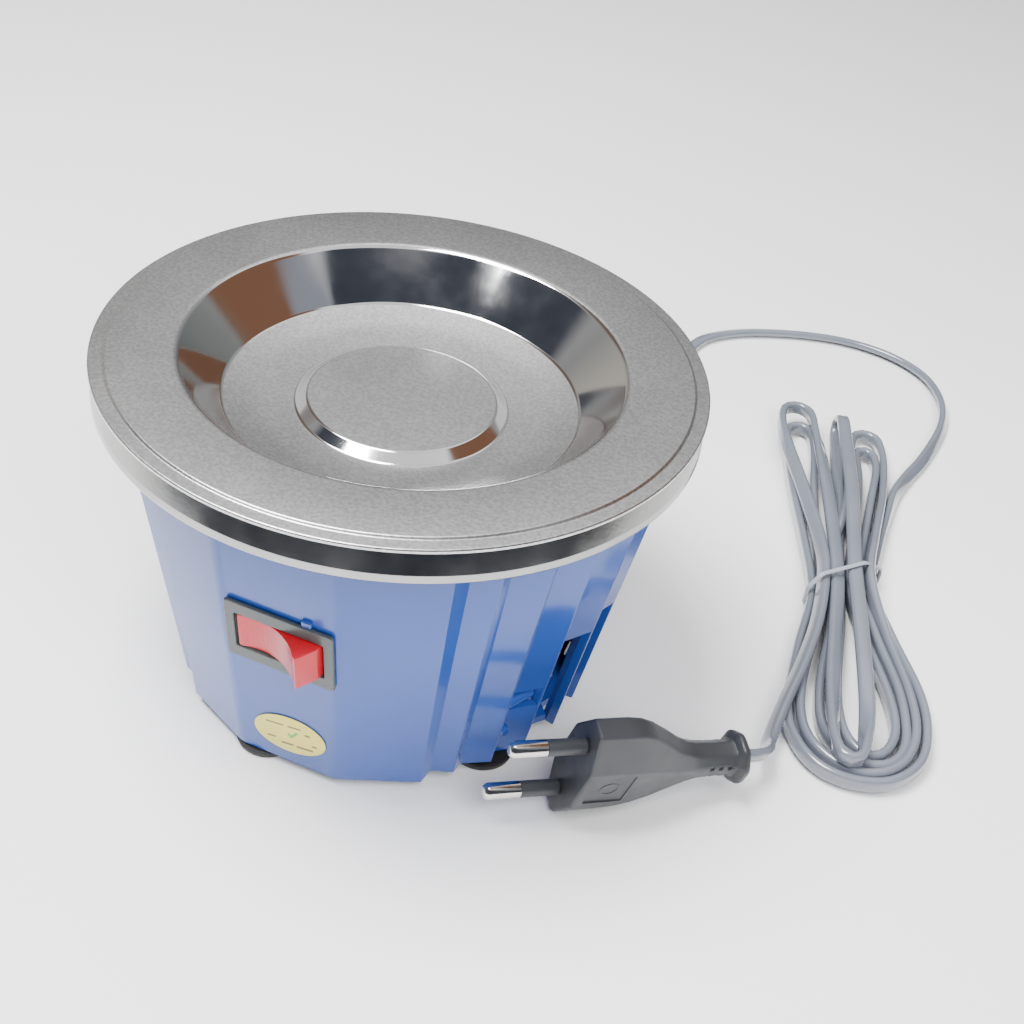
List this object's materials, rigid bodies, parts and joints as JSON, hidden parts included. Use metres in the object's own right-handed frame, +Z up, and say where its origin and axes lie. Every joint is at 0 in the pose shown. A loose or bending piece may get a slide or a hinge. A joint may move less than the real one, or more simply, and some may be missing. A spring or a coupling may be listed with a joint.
{
  "type": "pottery wheel",
  "caption": "Small electric pottery wheel: a steel wheel head with a sunken well, belt-driven in a ribbed plastic housing with a rocker switch, rubber feet and a tied mains lead",
  "frame": {"origin": "on the ground under the wheel's axis, at the bottoms of the feet; the free mains lead, its gland and plug are left out of the claim", "axes": "+Z up along the wheel's axis, the switch faces -Y, +X to the right seen from the front"},
  "size_m": [0.2095, 0.2968, 0.0899],
  "materials": {
    "pressed_steel": "satin",
    "blue_abs": "gloss",
    "black_rubber": "matt",
    "black_plastic": "satin",
    "red_plastic": "gloss",
    "zinc_plate": "plated",
    "cast_aluminium": "cast",
    "core_iron": "laminated",
    "copper_wire": "enamelled",
    "brass": "turned",
    "pulley_nylon": "moulded",
    "grey_vinyl": "gloss",
    "yellow_label": "satin",
    "tie_plastic": "satin"
  },
  "bodies": {
    "base": {"housing": "blue_abs", "base_cover": "blue_abs", "foot_1": "black_rubber", "foot_2": "black_rubber", "foot_3": "black_rubber", "foot_4": "black_rubber", "foot_5": "black_rubber", "drive_belt": "black_rubber", "cord_gland": "black_rubber", "switch_frame": "black_plastic", "plug_body": "black_plastic", "plug_sleeve_lower": "black_plastic", "plug_sleeve_upper": "black_plastic", "foot_screw_1": "zinc_plate", "foot_screw_2": "zinc_plate", "foot_screw_3": "zinc_plate", "foot_screw_4": "zinc_plate", "foot_screw_5": "zinc_plate", "bearing_outer_upper": "zinc_plate", "bearing_outer_lower": "zinc_plate", "motor_plate": "zinc_plate", "post_1": "zinc_plate", "post_2": "zinc_plate", "post_3": "zinc_plate", "post_4": "zinc_plate", "motor_can": "zinc_plate", "switch_pin": "zinc_plate", "switch_terminal_left": "zinc_plate", "switch_terminal_right": "zinc_plate", "plug_pin_lower": "zinc_plate", "plug_pin_upper": "zinc_plate", "bearing_housing": "cast_aluminium", "motor_front_cap": "cast_aluminium", "motor_rear_cap": "cast_aluminium", "motor_stator": "core_iron", "motor_winding_lower": "copper_wire", "motor_winding_upper": "copper_wire", "cord_lead": "grey_vinyl", "cord_tail": "grey_vinyl", "cord_hank": "grey_vinyl", "wire_live": "grey_vinyl", "wire_neutral": "grey_vinyl", "wire_switched": "grey_vinyl", "label_sticker": "yellow_label", "cord_tie": "tie_plastic"},
    "wheel": {"wheel_dish": "pressed_steel", "wheel_skirt": "pressed_steel", "hub": "cast_aluminium", "hub_nut_1": "zinc_plate", "hub_nut_2": "zinc_plate", "hub_nut_3": "zinc_plate", "spindle": "zinc_plate", "bearing_inner_upper": "zinc_plate", "bearing_inner_lower": "zinc_plate", "large_pulley": "pulley_nylon"},
    "motor": {"motor_rotor": "core_iron", "motor_shaft": "zinc_plate", "small_pulley": "brass"},
    "rocker": {"switch_rocker": "red_plastic"}
  },
  "joints": [
    {"name": "wheel_spin", "type": "hinge", "parent": "base", "child": "wheel", "pos_m": [0, 0, 0.06], "axis": [0, 0, 1], "continuous": true},
    {"name": "motor_spin", "type": "hinge", "parent": "base", "child": "motor", "pos_m": [0, 0.029, 0.03], "axis": [0, 0, 1], "continuous": true},
    {"name": "switch_rocker_turn", "type": "hinge", "parent": "base", "child": "rocker", "pos_m": [0.0005, -0.05478, 0.04573], "axis": [0, -0.1308, 0.9914], "range_deg": [0, 36.4]}
  ],
  "couplings": [
    {"joint": "motor_spin", "follows": "wheel_spin", "ratio": 3.6}
  ]
}
